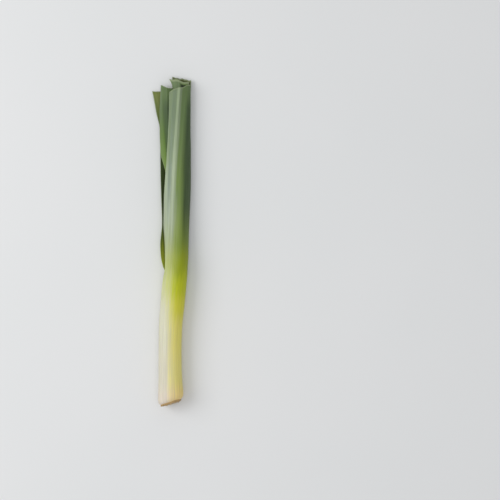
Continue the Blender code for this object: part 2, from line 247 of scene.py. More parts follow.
# The root plate's profile as (along, share of its radius), a stub's widths from its root to its end as
# shares of its radius, and what roughens them
ROOT_PROFILE = [
    (ROOT_FACE - ROOT_DOME, 0.5),
    (ROOT_FACE - ROOT_DOME * 0.7, 0.8),
    (ROOT_FACE, 0.96),
    (ROOT_FACE + 0.4, 1.0),
    (SHANK_BASE - 0.1, 1.0),
]
ROOT_SIDES = 72
STUB_SIDES = 12
STUB_WIDTHS = (1.25, 1.12, 0.95, 0.78)
STUB_SHOULDER = 0.55
ROOT_VOXEL = 0.14
ROOT_SMOOTHING = 3
FIBRE = 0.05
FIBRE_SPACING = (0.9, 0.9, 0.9)
FIBRE_WAVES = 14
LUMPS = 0.08
LUMP_SPACING = (2.5, 2.5, 2.5)

# What the unevenness of each piece is drawn from
SHEATH_SEED = 11
BLADE_SEEDS = {"leaf_2": 30, "leaf_3": 40, "leaf_4": 50, "leaf_5": 60, "leaf_6": 70}
ROOT_SEED = 5

# How softly a shape that would reach below the floor is pressed flat on it
FLOOR_ROUNDING = 0.05
# The distance kept at points that have no margin or cut end near them
FAR = 50.0
# The least distance that is divided by
SMALLEST = 1e-6

# Where the skin's greener side starts and is full, as distances from the keel at places along the leek:
# a first turn at the keel, quick except near the throat, and a later one further round to the right
TURN_STARTS = [
    (45.0, 0.2),
    (58.0, -2.5),
    (72.0, -7.0),
    (88.0, -4.0),
    (109.0, -2.2),
    (140.0, -1.0),
    (180.0, 0.7),
]
TURN_ENDS = [
    (45.0, 4.2),
    (88.0, 4.5),
    (109.0, 4.6),
    (125.0, 4.0),
    (140.0, 2.4),
    (155.0, 2.2),
    (180.0, 2.6),
]
LATE_STARTS = [(45.0, 2.0), (58.0, 1.0), (75.0, -1.0), (95.0, 0.5), (125.0, 2.0), (155.0, 3.0)]
LATE_ENDS = [(45.0, 9.0), (58.0, 7.0), (75.0, 5.5), (95.0, 8.0), (125.0, 9.0)]
FIRST_TURN_SHARE = 0.6


def track_value(track, at):
    """The value at a place on the smooth curve through (place, value) points, which it never overshoots."""
    if at <= track[0][0]:
        return track[0][1]
    if at >= track[-1][0]:
        return track[-1][1]
    steps = [b[0] - a[0] for a, b in zip(track, track[1:])]
    rises = [(b[1] - a[1]) / step for a, b, step in zip(track, track[1:], steps)]
    slopes = [rises[0]]
    for before, after in zip(rises, rises[1:]):
        slopes.append(2 * before * after / (before + after) if before * after > 0 else 0.0)
    slopes.append(rises[-1])
    i = max(k for k in range(len(steps)) if track[k][0] <= at)
    t = (at - track[i][0]) / steps[i]
    ease = t * t * (3 - 2 * t)
    start = track[i][1] + (track[i + 1][1] - track[i][1]) * ease
    return start + steps[i] * t * (1 - t) * ((1 - t) * slopes[i] - t * slopes[i + 1])


def smooth_step(x):
    x = np.clip(x, 0.0, 1.0)
    return x * x * (3 - 2 * x)


def shank_centre(along):
    radius = track_value(SHANK_RADIUS, max(along, SHANK_WIDEST))
    return complex(track_value(AXIS_X, along), radius - SHANK_REST)


def base_skew(along, from_axis):
    """How far the askew cut at the root end moves a point along the leek."""
    share = 1.0 - smooth_step((along - SHANK_BASE) / (SKEW_ENDS - SHANK_BASE))
    return share * (BASE_SKEW_X * from_axis.real + BASE_SKEW_Z * from_axis.imag)


def ripple(seed, points, spacing, waves=8):
    """A smooth, repeatable unevenness of about 1 over (x, along, z) points, spaced along each."""
    draw = random.Random(seed)
    total = np.zeros(len(points))
    for _ in range(waves):
        way = np.array([draw.gauss(0, 1) * 2 / space for space in spacing])
        total += np.sin(points @ way + draw.uniform(0, 2 * math.pi))
    return total / math.sqrt(waves / 2)


def flank(keel, margin, turning, parts):
    """Points along the arc from the keel to a margin, which turns by that many degrees."""
    half = math.radians(turning) / 2
    t = np.arange(1, parts + 1) / parts
    reach = np.sin(half * t) / math.sin(half)
    return keel + (margin - keel) * reach * np.exp(-1j * half * (1 - t))


def throat_section(leaf):
    """The leaf where it leaves the shank: part of a ring, with its keel above or below."""
    centre = shank_centre(THROAT)
    radius = track_value(SHANK_RADIUS, THROAT) - leaf.ring * RING_STEP
    keel = KEEL_AT_THROAT if leaf.keel_up else KEEL_AT_THROAT - math.pi
    side = 1.0 if leaf.keel_up else -1.0

    def on_ring(turn):
        point = centre + radius * np.exp(1j * turn)
        return point.real, point.imag

    left = on_ring(keel + side * math.radians(leaf.turn_left))
    right = on_ring(keel - side * math.radians(leaf.turn_right))
    return Section(THROAT + GAP, left, on_ring(keel), right, leaf.turn_left, leaf.turn_right)


def blade_line(leaf, sections, along):
    """The blade's outer face at one place."""

    def at(pick):
        return track_value([(s.along, pick(s)) for s in sections], along)

    left = complex(at(lambda s: s.left[0]), at(lambda s: s.left[1]))
    keel = complex(at(lambda s: s.keel[0]), at(lambda s: s.keel[1]))
    right = complex(at(lambda s: s.right[0]), at(lambda s: s.right[1]))
    side = 1.0 if leaf.keel_up else -1.0
    parts_left, parts_right = FLANK_PARTS[leaf.name]
    to_left = flank(keel, left, side * at(lambda s: s.turn_left), parts_left)
    to_right = flank(keel, right, -side * at(lambda s: s.turn_right), parts_right)
    return np.concatenate([to_left[::-1], [keel], to_right])


def reach_from_keel(leaf, line):
    """Each point's distance from the keel over the surface, negative to the left."""
    run = np.concatenate([[0.0], np.cumsum(np.abs(np.diff(line)))])
    return run - run[FLANK_PARTS[leaf.name][0]]


def outward_of(line, side):
    tangent = np.gradient(line)
    return side * 1j * tangent / np.abs(tangent)


def soften_keel(line, reach):
    """Rounds the corner at the keel."""
    weight = np.exp(-(((reach[:, None] - reach[None, :]) / KEEL_SOFT) ** 2) / 2) * np.gradient(reach)
    rounded = (weight @ line) / weight.sum(axis=1)
    share = np.exp(-((reach / (3 * KEEL_SOFT)) ** 2))
    return line + share * (rounded - line)


def rest_on_floor(z):
    return (z + np.sqrt(z * z + FLOOR_ROUNDING**2)) / 2


def dress_line(leaf, seed, along, line, widening=1.0):
    """The outer and the inner face at one place, with a real leaf's ridge, veins and thickness.

    The distances over the surface are those where it is that much wider, so that the veins part and
    close with it.
    """
    side = 1.0 if leaf.keel_up else -1.0
    reach = reach_from_keel(leaf, line) * widening
    line = soften_keel(line, reach)
    to_margin = np.minimum(reach - reach[0], reach[-1] - reach)
    opened = smooth_step((along - THROAT) / MARGIN_WAVE_RUN)
    points = np.stack([line.real, np.full(len(line), along), line.imag], axis=1)
    margins = np.array([[0.0, along, 0.0], [MARGINS_APART, along, 0.0]])
    wave = opened * MARGIN_WAVE * ripple(seed + 1, margins, MARGIN_WAVE_SPACING)
    outward = outward_of(line, side)
    tangent = outward / (side * 1j)
    near_margin = np.exp(-((to_margin / MARGIN_WAVE_WIDTH) ** 2))
    line = line + near_margin * np.where(reach < 0, -wave[0], wave[1]) * tangent
    veins = np.cos(2 * math.pi * reach / VEIN_SPACING)
    raised = (
        KEEL_RIDGE * np.exp(-((reach / KEEL_RIDGE_WIDTH) ** 2))
        + VEIN_RELIEF * veins * smooth_step(to_margin / VEIN_FADE)
        + UNEVEN * ripple(seed + 2, points, UNEVEN_SPACING)
    )
    outer = line + outward * raised
    thinned = smooth_step(to_margin / THINNING_RUN)
    flank_depth = MARGIN_THICKNESS + (FLANK_THICKNESS - MARGIN_THICKNESS) * thinned
    near_keel = np.exp(-((reach / KEEL_THICK_WIDTH) ** 2))
    depth = flank_depth + (KEEL_THICKNESS - FLANK_THICKNESS) * near_keel
    inner = line - outward * depth
    return outer, inner, reach, to_margin


def rim(outer, inner, away):
    """The rounded edge from an outer margin point to the inner one."""
    middle, half = (outer + inner) / 2, (outer - inner) / 2
    turns = math.pi * np.arange(1, RIM_PARTS + 1) / (RIM_PARTS + 1)
    return middle + half * np.cos(turns) + away * abs(half) * np.sin(turns)


def band_loop(leaf, seed, along, line):
    """One closed loop round the blade, with what the material needs to know at each of its points."""
    outer, inner, reach, to_margin = dress_line(leaf, seed, along, line)
    away_right = (outer[-1] - outer[-2]) / abs(outer[-1] - outer[-2])
    away_left = (outer[0] - outer[1]) / abs(outer[0] - outer[1])
    right_rim = rim(outer[-1], inner[-1], away_right)
    left_rim = rim(inner[0], outer[0], away_left)
    loop = np.concatenate([outer, right_rim, inner[::-1], left_rim])
    over = np.arange(1, RIM_PARTS + 1) / (RIM_PARTS + 1)
    on_right, on_left = np.full(RIM_PARTS, reach[-1]), np.full(RIM_PARTS, reach[0])
    on_rim = np.zeros(RIM_PARTS)
    facts = {
        "across": np.concatenate([reach, on_right, reach[::-1], on_left]),
        "inside": np.concatenate([np.zeros(len(outer)), over, np.ones(len(inner)), 1 - over]),
        "to_margin": np.concatenate([to_margin, on_rim, to_margin[::-1], on_rim]),
    }
    return loop, facts


def cut_shift(leaf, sections, seed, along, loop):
    """How far the slanting, slightly wavy cut moves the points of a loop along the leek."""
    share = smooth_step((along - sections[-1].along + CUT_SLANT_STARTS) / CUT_SLANT_STARTS)
    count = sum(FLANK_PARTS[leaf.name])
    middle = (loop[0].real + loop[count].real) / 2
    places = np.stack([loop.real, np.zeros(len(loop)), np.zeros(len(loop))], axis=1)
    close = smooth_step((along - sections[-1].along + CUT_WAVE_RUN) / CUT_WAVE_RUN)
    wave = close * CUT_WAVE * ripple(seed + 3, places, CUT_WAVE_SPACING, CUT_WAVES)
    return share * leaf.cut_slope * (loop.real - middle) + wave


def row_points(loop, along):
    """Millimetre points in the leek's frame, as rows of x, y, z."""
    along = np.broadcast_to(along, loop.shape)
    return np.stack([loop.real - MIDDLE_X, along - MIDDLE_ALONG, rest_on_floor(loop.imag)], axis=1)


def stations(start, end):
    count = round((end - start) / STATION_STEP)
    return [start + (end - start) * k / count for k in range(count + 1)]


class Body:
    """A closed mesh in the making: its points, its faces, and the facts kept at each point."""

    FACTS = ("along", "across", "inside", "to_margin", "to_end", "cut", "turned")

    def __init__(self):
        self.points = []
        self.faces = []
        self.facts = {name: [] for name in self.FACTS}

    def add_row(self, points, **facts):
        """Adds points and returns the numbers that they got."""
        first = len(self.points)
        self.points.extend(points.tolist())
        for name in self.FACTS:
            values = np.broadcast_to(facts.get(name, 0.0), len(points))
            self.facts[name].extend(values.tolist())
        return list(range(first, first + len(points)))

    def bridge(self, near, far):
        """Quads between two closed rows of the same length."""
        for j in range(len(near)):
            k = (j + 1) % len(near)
            self.faces.append((near[j], near[k], far[k], far[j]))

    def close(self, row, count):
        """Closes a band's last loop, whose first count + 1 points are its outer face."""
        outer = row[: count + 1]
        right = row[count + 1 : count + 1 + RIM_PARTS]
        inner = row[count + 1 + RIM_PARTS : 2 * count + 2 + RIM_PARTS][::-1]
        left = row[2 * count + 2 + RIM_PARTS :]
        for j in range(count):
            self.faces.append((outer[j], outer[j + 1], inner[j + 1], inner[j]))
        self.faces.append((outer[-1], *right, inner[-1]))
        self.faces.append((inner[0], *left, outer[0]))

    def close_to_point(self, row, centre, pull, **facts):
        """Closes a row with rings that shrink to a centre."""
        points = np.array([self.points[k] for k in row])
        for share in pull:
            ring = self.add_row(points + (centre - points) * share, **facts)
            self.bridge(row, ring)
            row = ring
        hub = self.add_row(np.array([centre]), **{k: np.mean(v) for k, v in facts.items()})[0]
        for j in range(len(row)):
            self.faces.append((row[j], row[(j + 1) % len(row)], hub))

    def build(self, name):
        """The object, with its faces turned outwards."""
        mesh = bpy.data.meshes.new(name)
        mesh.from_pydata([Vector(p) * MM for p in self.points], [], self.faces)
        for fact, values in self.facts.items():
            mesh.attributes.new(fact, "FLOAT", "POINT").data.foreach_set("value", values)
        work = bmesh.new()
        work.from_mesh(mesh)
        bmesh.ops.recalc_face_normals(work, faces=work.faces)
        work.to_mesh(mesh)
        work.free()
        mesh.shade_smooth()
        mesh.set_sharp_from_angle(angle=SHARP_FROM)
        piece = bpy.data.objects.new(name, mesh)
        bpy.context.scene.collection.objects.link(piece)
        return piece


def bevelled(loop, count, inset):
    """A loop drawn in towards the middle of the blade's thickness."""
    outer = loop[: count + 1]
    inner = loop[count + 1 + RIM_PARTS : 2 * count + 2 + RIM_PARTS][::-1]
    middle = (outer + inner) / 2
    right = np.full(RIM_PARTS, middle[-1])
    left = np.full(RIM_PARTS, middle[0])
    target = np.concatenate([middle, right, middle[::-1], left])
    away = target - loop
    return loop + away * np.minimum(1.0, inset / np.maximum(np.abs(away), SMALLEST))


def side_share(reach, along):
    """From 0 on the leek's paler left side to 1 on its greener right one, in two turns."""
    first, last = track_value(TURN_STARTS, along), track_value(TURN_ENDS, along)
    late_first, late_last = track_value(LATE_STARTS, along), track_value(LATE_ENDS, along)
    quick = smooth_step((reach - first) / (last - first))
    late = smooth_step((reach - late_first) / (late_last - late_first))
    return FIRST_TURN_SHARE * quick + (1.0 - FIRST_TURN_SHARE) * late


def add_band(body, leaf, seed, places, lines, sections, start=None):
    """Lofts the blade's loops, on from a row if one is given, and closes the cut end.

    Returns the first row.
    """
    count = sum(FLANK_PARTS[leaf.name])
    rows = [] if start is None else [start]
    for along, line in zip(places, lines):
        loop, facts = band_loop(leaf, seed, along, line)
        shift = cut_shift(leaf, sections, seed, along, loop)
        facts["turned"] = side_share(facts["across"] + LOOKS[leaf.name].green_from, along)
        facts["to_end"] = sections[-1].along - along
        rows.append(body.add_row(row_points(loop, along + shift), along=along + shift, **facts))
        if len(rows) > 1:
            body.bridge(rows[-2], rows[-1])
    end = row_points(bevelled(loop, count, CUT_BEVEL), along + shift + CUT_BEVEL)
    rows.append(body.add_row(end, along=along + shift, cut=1.0, **facts))
    body.bridge(rows[-2], rows[-1])
    body.close(rows[-1], count)
    return rows[0]


def sheath_turns(leaf):
    """Turns from the keel: those of the leaf's own points, and of the ones that close the ring."""
    parts_left, parts_right = FLANK_PARTS[leaf.name]
    left, right = math.radians(leaf.turn_left), math.radians(leaf.turn_right)
    on_left = left * np.arange(parts_left, 0, -1) / parts_left
    on_right = -right * np.arange(1, parts_right + 1) / parts_right
    in_gap = -right - (2 * math.pi - left - right) * np.arange(1, GAP_PARTS) / GAP_PARTS
    return np.concatenate([on_left, [0.0], on_right]), in_gap


def tube_line(along, turns):
    """Points of the shank's outline at one place."""
    radius = track_value(SHANK_RADIUS, along)
    return shank_centre(along) + radius * np.exp(1j * (KEEL_AT_THROAT + turns))


def sheath_ring(leaf, seed, along, line):
    """One closed ring of the sheath, with what the material needs to know at each of its points.

    Its last points close it over the gap between the leaf's margins, where the sheath thins and dips
    towards the mouth.
    """
    widening = track_value(SHANK_RADIUS, THROAT) / track_value(SHANK_RADIUS, along)
    outer, _, reach, _ = dress_line(leaf, seed, along, line, widening)
    gap_line = tube_line(along, sheath_turns(leaf)[1])
    gap_share = np.arange(1, GAP_PARTS) / GAP_PARTS
    arch = np.sqrt(np.sin(math.pi * gap_share))
    centre = shank_centre(along)
    inward = (centre - gap_line) / np.abs(centre - gap_line)
    points = np.stack([gap_line.real, np.full(len(gap_line), along), gap_line.imag], axis=1)
    uneven = UNEVEN * ripple(seed + 2, points, UNEVEN_SPACING)
    taper = smooth_step((along - THROAT + LIP_TAPER_RUN) / LIP_TAPER_RUN)
    gap_line = gap_line + inward * (LIP_TAPER * taper * arch - uneven)
    ring = np.concatenate([outer, gap_line])
    shift = base_skew(along, ring - centre)
    shift[len(outer) :] -= MOUTH_DIP * smooth_step((along - THROAT + MOUTH_RUN) / MOUTH_RUN) * arch
    on_leaf = side_share(reach, along)
    back = smooth_step(gap_share)
    facts = {
        "along": along + shift,
        "across": np.concatenate([reach, reach[-1] + (reach[0] - reach[-1]) * gap_share]),
        "turned": np.concatenate([on_leaf, on_leaf[-1] * (1 - back) + on_leaf[0] * back]),
    }
    return row_points(ring, along + shift), facts


def open_mouth(body, leaf, seed, line, ring):
    """Closes the sheath's last ring in a hollow behind the blade. Returns the blade's first loop."""
    count = sum(FLANK_PARTS[leaf.name])
    loop, facts = band_loop(leaf, seed, THROAT, line)
    facts = {name: values[count + 1 :] for name, values in facts.items()}
    points = row_points(loop[count + 1 :], THROAT)
    added = body.add_row(points, along=THROAT, turned=0.5, to_end=FAR, **facts)
    lip = [*added, ring[0], *reversed(ring[count + 1 :]), ring[count]]
    hub = row_points(np.array([shank_centre(THROAT)]), THROAT - MOUTH_DIP - MOUTH_FLOOR)[0]
    body.close_to_point(lip, hub, MOUTH_PULL, along=THROAT, inside=1.0, to_end=FAR)
    return ring[: count + 1] + added


def soften_along(places, lines):
    """Evens out the change of direction where the blade leaves the tube."""
    weight = np.exp(-(((places[:, None] - places[None, :]) / TURN_SOFT) ** 2) / 2) * np.gradient(places)
    even = (weight @ lines) / weight.sum(axis=1)[:, None]
    share = np.exp(-(((places - THROAT) / TURN_SOFT_REACH) ** 2))[:, None]
    return lines + share * (even - lines)


def make_sheath(leaf, seed):
    """The outer sheath and the outermost leaf, one skin: a closed tube that opens at the throat."""
    body = Body()
    sections = [throat_section(leaf), *leaf.sections]
    turns = sheath_turns(leaf)[0]
    shank_places = [*BASE_STATIONS, *stations(EVEN_STATIONS_FROM, THROAT)]
    blade_places = stations(THROAT, leaf.sections[-1].along)[1:]
    lines = [tube_line(s, turns) for s in shank_places]
    lines += [blade_line(leaf, sections, max(s, THROAT + GAP)) for s in blade_places]
    lines = soften_along(np.array([*shank_places, *blade_places]), np.array(lines))
    rings = []
    for along, line in zip(shank_places, lines):
        points, facts = sheath_ring(leaf, seed, along, line)
        rings.append(body.add_row(points, to_margin=FAR, to_end=FAR, **facts))
        if len(rings) > 1:
            body.bridge(rings[-2], rings[-1])
        else:
            middle = points.mean(axis=0)
            body.close_to_point(rings[0], middle, BASE_PULL, along=along, to_margin=FAR, to_end=FAR)
    start = open_mouth(body, leaf, seed, lines[len(shank_places) - 1], rings[-1])
    add_band(body, leaf, seed, blade_places, lines[len(shank_places) :], sections, start)
    return body.build("sheath_and_leaf_1")


def make_leaf(leaf, seed):
    """One of the inner leaves, from where the throat hides it to its cut end."""
    body = Body()
    sections = [throat_section(leaf), *leaf.sections]
    places = stations(THROAT - LEAF_ROOT, leaf.sections[-1].along)
    lines = [blade_line(leaf, sections, s) for s in places]
    first = add_band(body, leaf, seed, places, lines, sections)
    body.close(first, sum(FLANK_PARTS[leaf.name]))
    return body.build(leaf.name + "_blade")


def tube(body, rows):
    """A closed tapering tube through rings of points."""
    rings = [body.add_row(row) for row in rows]
    for near, far in zip(rings, rings[1:]):
        body.bridge(near, far)
    body.faces.append(tuple(rings[0]))
    body.faces.append(tuple(reversed(rings[-1])))


def add_stubs(body, turns):
    """The short cut roots, in rings over the root plate's face."""
    centre = shank_centre(ROOT_FACE)
    draw = random.Random(STUB_SEED)
    for radius, count in STUB_RINGS:
        for k in range(count):
            turn = 2 * math.pi * (k + draw.uniform(-STUB_SPREAD, STUB_SPREAD)) / count
            place = radius * np.exp(1j * turn)
            on_face = ROOT_FACE + base_skew(ROOT_FACE, place)
            start = Vector(row_points(np.array([centre + place]), on_face)[0])
            lean = STUB_LEAN * radius
            outward = Vector((lean * math.cos(turn) + BASE_SKEW_X, -1.0, lean * math.sin(turn)))
            length = draw.uniform(*STUB_OUT)
            tube(body, stub_rings(start, outward.normalized(), length, turns))


def stub_rings(start, outward, length, turns):
    """A stub's rings, from its sunk root to its cut end."""
    across = outward.orthogonal().normalized()
    up = outward.cross(across)
    rings = []
    for step, width in zip((-STUB_SINK, 0.0, length * STUB_SHOULDER, length), STUB_WIDTHS):
        middle = start + outward * step
        ways = [across * math.cos(a) + up * math.sin(a) for a in turns]
        rings.append(np.array([middle + way * STUB_RADIUS * width for way in ways]))
    return rings


def melt(piece):
    """Turns a piece's overlapping solids into one smooth skin, and leaves it in millimetres."""
    for name in Body.FACTS:
        piece.data.attributes.remove(piece.data.attributes[name])
    piece.data.transform(Matrix.Scale(1 / MM, 4))
    skin = piece.modifiers.new("skin", "REMESH")
    skin.mode = "VOXEL"
    skin.voxel_size = ROOT_VOXEL
    skin.use_smooth_shade = True
    relax = piece.modifiers.new("relax", "SMOOTH")
    relax.iterations = ROOT_SMOOTHING
    graph = bpy.context.evaluated_depsgraph_get()
    mesh = bpy.data.meshes.new_from_object(piece.evaluated_get(graph))
    piece.modifiers.clear()
    piece.data = mesh


def roughen(mesh, seed):
    """Makes the root plate fibrous and lumpy, and takes it from millimetres to metres."""
    points, normals = np.empty(len(mesh.vertices) * 3), np.empty(len(mesh.vertices) * 3)
    mesh.vertices.foreach_get("co", points)
    mesh.vertex_normals.foreach_get("vector", normals)
    points, normals = points.reshape(-1, 3), normals.reshape(-1, 3)
    fibres = FIBRE * ripple(seed, points, FIBRE_SPACING, FIBRE_WAVES)
    rough = fibres + LUMPS * ripple(seed + 1, points, LUMP_SPACING)
    points = points + normals * rough[:, None]
    spread = (points[:, 0] + MIDDLE_X) + 1j * points[:, 2] - shank_centre(ROOT_FACE)
    face = ROOT_FACE + BASE_SKEW_X * spread.real + BASE_SKEW_Z * spread.imag
    facts = {"from_axis": np.abs(spread), "stands_out": face - (points[:, 1] + MIDDLE_ALONG)}
    mesh.vertices.foreach_set("co", (points * MM).ravel())
    for fact, values in facts.items():
        mesh.attributes.new(fact, "FLOAT", "POINT").data.foreach_set("value", values)
    mesh.update()


def make_root_plate(seed):
    """The fibrous disc with its cut roots, as one skin."""
    body = Body()
    turns = 2 * math.pi * np.arange(ROOT_SIDES) / ROOT_SIDES
    rings = []
    for along, share in ROOT_PROFILE:
        ring = share * ROOT_RADIUS * np.exp(1j * turns)
        rings.append(row_points(shank_centre(along) + ring, along + base_skew(along, ring)))
    tube(body, rings)
    add_stubs(body, turns[:: ROOT_SIDES // STUB_SIDES])
    piece = body.build("root_plate_fibrous")
    melt(piece)
    roughen(piece.data, seed)
    return piece


# Materials

# The skin's colour on its paler side and on its greener one, at places along the leek
PALE_SIDE = [
    (4.0, (0.69, 0.61, 0.50)),
    (16.0, (0.65, 0.61, 0.475)),
    (58.0, (0.64, 0.63, 0.47)),
    (72.0, (0.59, 0.60, 0.34)),
    (85.0, (0.46, 0.51, 0.18)),
    (104.0, (0.36, 0.42, 0.19)),
    (130.0, (0.19, 0.26, 0.10)),
    (180.0, (0.12, 0.175, 0.07)),
]
GREEN_SIDE = [
    (4.0, (0.80, 0.60, 0.24)),
    (18.0, (0.74, 0.655, 0.20)),
    (46.0, (0.72, 0.64, 0.15)),
    (60.0, (0.61, 0.58, 0.05)),
    (73.0, (0.46, 0.50, 0.012)),
    (86.0, (0.28, 0.33, 0.01)),
    (104.0, (0.18, 0.25, 0.02)),
    (130.0, (0.175, 0.26, 0.05)),
    (180.0, (0.14, 0.215, 0.07)),
]
# A blade's inside along the leek: lime near the throat and green at the tip, its own colours, with painted
# shade making it near-black between
INSIDE_AND_SHADE = [
    (84.0, (0.36, 0.40, 0.035)),
    (91.0, (0.28, 0.32, 0.025)),
    (98.0, (0.16, 0.20, 0.03)),
    (107.0, (0.04, 0.06, 0.015)),
    (160.0, (0.035, 0.055, 0.012)),
    (176.0, (0.13, 0.165, 0.035)),
    (190.0, (0.19, 0.22, 0.055)),
]
BLOOM = (0.39, 0.45, 0.325)
BLUE_BLOOM = (0.205, 0.25, 0.24)
# The darkest green: partly the leaf's own colour, partly painted shade on the side away from the light and
# under overhanging leaves
DEEP_GREEN_AND_SHADE = (0.045, 0.078, 0.028)
# Pale green: of the keel stripe, partly the midrib's own colour and partly a painted highlight, and of a
# painted highlight along the margins
PALE_AND_HIGHLIGHT = (0.45, 0.52, 0.36)
CUT_PALE = (0.30, 0.34, 0.17)
CUT_DRY = (0.10, 0.10, 0.035)
EDGE_LIGHT = (0.30, 0.35, 0.20)
# Near-black painted shadow behind a cut edge that a leaf above overhangs
PAINTED_SHADOW = (0.016, 0.026, 0.009)
ROOT_TAN = (0.33, 0.21, 0.10)
ROOT_SANDY = (0.50, 0.36, 0.19)
ROOT_RIM = (0.44, 0.28, 0.11)
STUB_END = (0.60, 0.47, 0.29)
FLOOR_GREY = (0.74, 0.745, 0.74)
FLOOR_PALE = (0.76, 0.76, 0.755)
RAMP_LENGTH = 200.0

# The shader settings of living leaf
LEAF_FLESH = {
    "Subsurface Weight": 0.10,
    "Subsurface Radius": (0.8, 1.0, 0.35),
    "Subsurface Scale": 1.0 * MM,
    "IOR": 1.45,
    "Specular IOR Level": 0.3,
}

# Stretches along the leek over which something comes in or goes out
DRIFT_IN = (0.0, 30.0)
BLOOM_IN = (84.0, 114.0)
BLOOM_OUT = (112.0, 186.0)
TIP_BLOOM_IN = (165.0, 188.0)
BLUE_IN = (105.0, 140.0)
DEEP_SHADE_IN = (84.0, 125.0)
DEEP_SHADE_WIDENS = (122.0, 150.0)
STRIPE_IN = (82.0, 115.0)
STRIPE_OUT = (130.0, 190.0)
BANDS_IN = (60.0, 110.0)
VIVID_OUT = (160.0, 185.0)
MARGIN_HIGHLIGHT_IN = (95.0, 115.0)

# The same, as distances back from the cut end, and how soon the painted shadow starts behind its edge
DEEP_SHADE_BACK_IN = (3.0, 14.0)
PAINTED_SHADOW_OUT = (8.0, 14.0)
PAINTED_SHADOW_START = 0.9

# Distances over the surface: how far left of the keel its stripe, partly a painted highlight, and the bluer
# band lie, from where to where they and the painted highlight on the margins fade out, and the painted
# shadow comes in
STRIPE_AT = 0.1
STRIPE_WIDTH = (0.5, 2.0)
BLUE_AT = 3.3
BLUE_WIDTH = (0.4, 2.4)
MARGIN_HIGHLIGHT_WIDTH = (0.0, 0.4)
PAINTED_SHADOW_SIDE = 1.5

# How a leaf's skin looks: its bloom on the blade and at the tip, how far over to the left its greener
# side starts, from where to where over its surface it turns deep green, partly painted shade, and how
# much, how vivid its green is, how light its inside is (lowered by painted shade on leaf_4), how far
# down from the cut its edge is lighter, how much, and where a painted shadow behind that edge starts
Look = namedtuple(
    "Look",
    "bloom tip_bloom green_from deep_from deep_to deep vivid inside edge edge_share dark_from",
)
# leaf_3's deep green is painted shade where leaf_1 overhangs it, and leaf_4's dim inside is painted shade
LOOKS = {
    "leaf_1": Look(1.0, 1.0, 0.0, 4.0, 8.2, 0.92, 1.0, 1.0, 0.7, 0.5, FAR),
    "leaf_2": Look(0.25, 0.25, 0.0, 6.0, 11.5, 0.50, 1.0, 1.0, 0.5, 0.3, FAR),
    "leaf_3": Look(0.06, 0.40, 5.0, -4.4, 0.2, 0.95, 1.25, 1.0, 0.6, 0.3, FAR),
    "leaf_4": Look(0.4, 0.4, 0.0, 6.0, 11.5, 0.50, 1.0, 0.42, 0.9, 0.6, FAR),
    "leaf_5": Look(0.1, 0.1, 1.0, 6.0, 11.5, 0.30, 1.0, 1.0, 1.5, 0.7, 0.0),
    "leaf_6": Look(0.4, 0.4, 0.0, 6.0, 11.5, 0.50, 1.0, 1.0, 0.6, 0.3, FAR),
}


class Nodes:
    """A material's nodes, added one call at a time.

    An input is a number, a tuple or another node's output.
    """

    def __init__(self, name):
        self.material = bpy.data.materials.new(name)
        self.material.use_nodes = True
        self.tree = self.material.node_tree
        self.shader = self.tree.nodes["Principled BSDF"]

    def add(self, kind, inputs, output=0, **settings):
        node = self.tree.nodes.new(kind)
        for key, value in settings.items():
            setattr(node, key, value)
        for key, value in inputs.items():
            self.give(node.inputs[key], value)
        return node.outputs[output]

    def give(self, socket, value):
        if isinstance(value, bpy.types.NodeSocket):
            self.tree.links.new(value, socket)
        else:
            socket.default_value = value

    def fact(self, name):
        return self.add("ShaderNodeAttribute", {}, "Fac", attribute_name=name)

    def calc(self, operation, *values):
        return self.add("ShaderNodeMath", dict(enumerate(values)), operation=operation)

    def plus(self, first, second):
        return self.calc("ADD", first, second)

    def times(self, *values):
        """The product of two or more values."""
        product = values[0]
        for value in values[1:]:
            product = self.calc("MULTIPLY", product, value)
        return product

    def swing(self, noise, size):
        """A noise from 0 to 1 as a swing of that size about zero."""
        return self.times(self.calc("SUBTRACT", noise, 0.5), size)

    def ramp(self, value, low, high, to_low=0.0, to_high=1.0):
        """A smooth rise between two values."""
        inputs = {"Value": value, "From Min": low, "From Max": high, "To Min": to_low, "To Max": to_high}
        return self.add("ShaderNodeMapRange", inputs, interpolation_type="SMOOTHSTEP")

    def mix(self, share, first, second):
        """From the first colour to the second one."""
        pair = (first, second)
        first, second = (c if isinstance(c, bpy.types.NodeSocket) else (*c, 1.0) for c in pair)
        return self.add("ShaderNodeMix", {0: share, 6: first, 7: second}, 2, data_type="RGBA")

    def colours(self, along, stops):
        """A colour that changes along the leek."""
        node = self.tree.nodes.new("ShaderNodeValToRGB")
        node.color_ramp.interpolation = "EASE"
        while len(node.color_ramp.elements) < len(stops):
            node.color_ramp.elements.new(0.5)
        for element, (place, colour) in zip(node.color_ramp.elements, stops):
            element.position = place / RAMP_LENGTH
            element.color = (*colour, 1.0)
        self.give(node.inputs[0], self.calc("DIVIDE", along, RAMP_LENGTH))
        return node.outputs[0]

    def shaded(self, colour, brightness, vivid=1.0):
        """A colour made lighter or darker, and more or less vivid."""
        inputs = {"Value": brightness, "Saturation": vivid, "Color": colour}
        return self.add("ShaderNodeHueSaturation", inputs)

    def point(self, x, y, z):
        return self.add("ShaderNodeCombineXYZ", {0: x, 1: y, 2: z})

    def noise(self, place, scale=1.0, detail=2.0, roughness=0.5):
        inputs = {"Vector": place, "Scale": scale, "Detail": detail, "Roughness": roughness}
        return self.add("ShaderNodeTexNoise", inputs)

    def bump(self, height, strength, distance):
        inputs = {"Height": height, "Strength": strength, "Distance": distance * MM}
        return self.add("ShaderNodeBump", inputs)

    def finish(self, colour, roughness, normal):
        self.give(self.shader.inputs["Base Color"], colour)
        self.give(self.shader.inputs["Roughness"], roughness)
        self.give(self.shader.inputs["Normal"], normal)
        return self.material


Facts = namedtuple("Facts", Body.FACTS)
Grain = namedtuple("Grain", "streak band mottle")


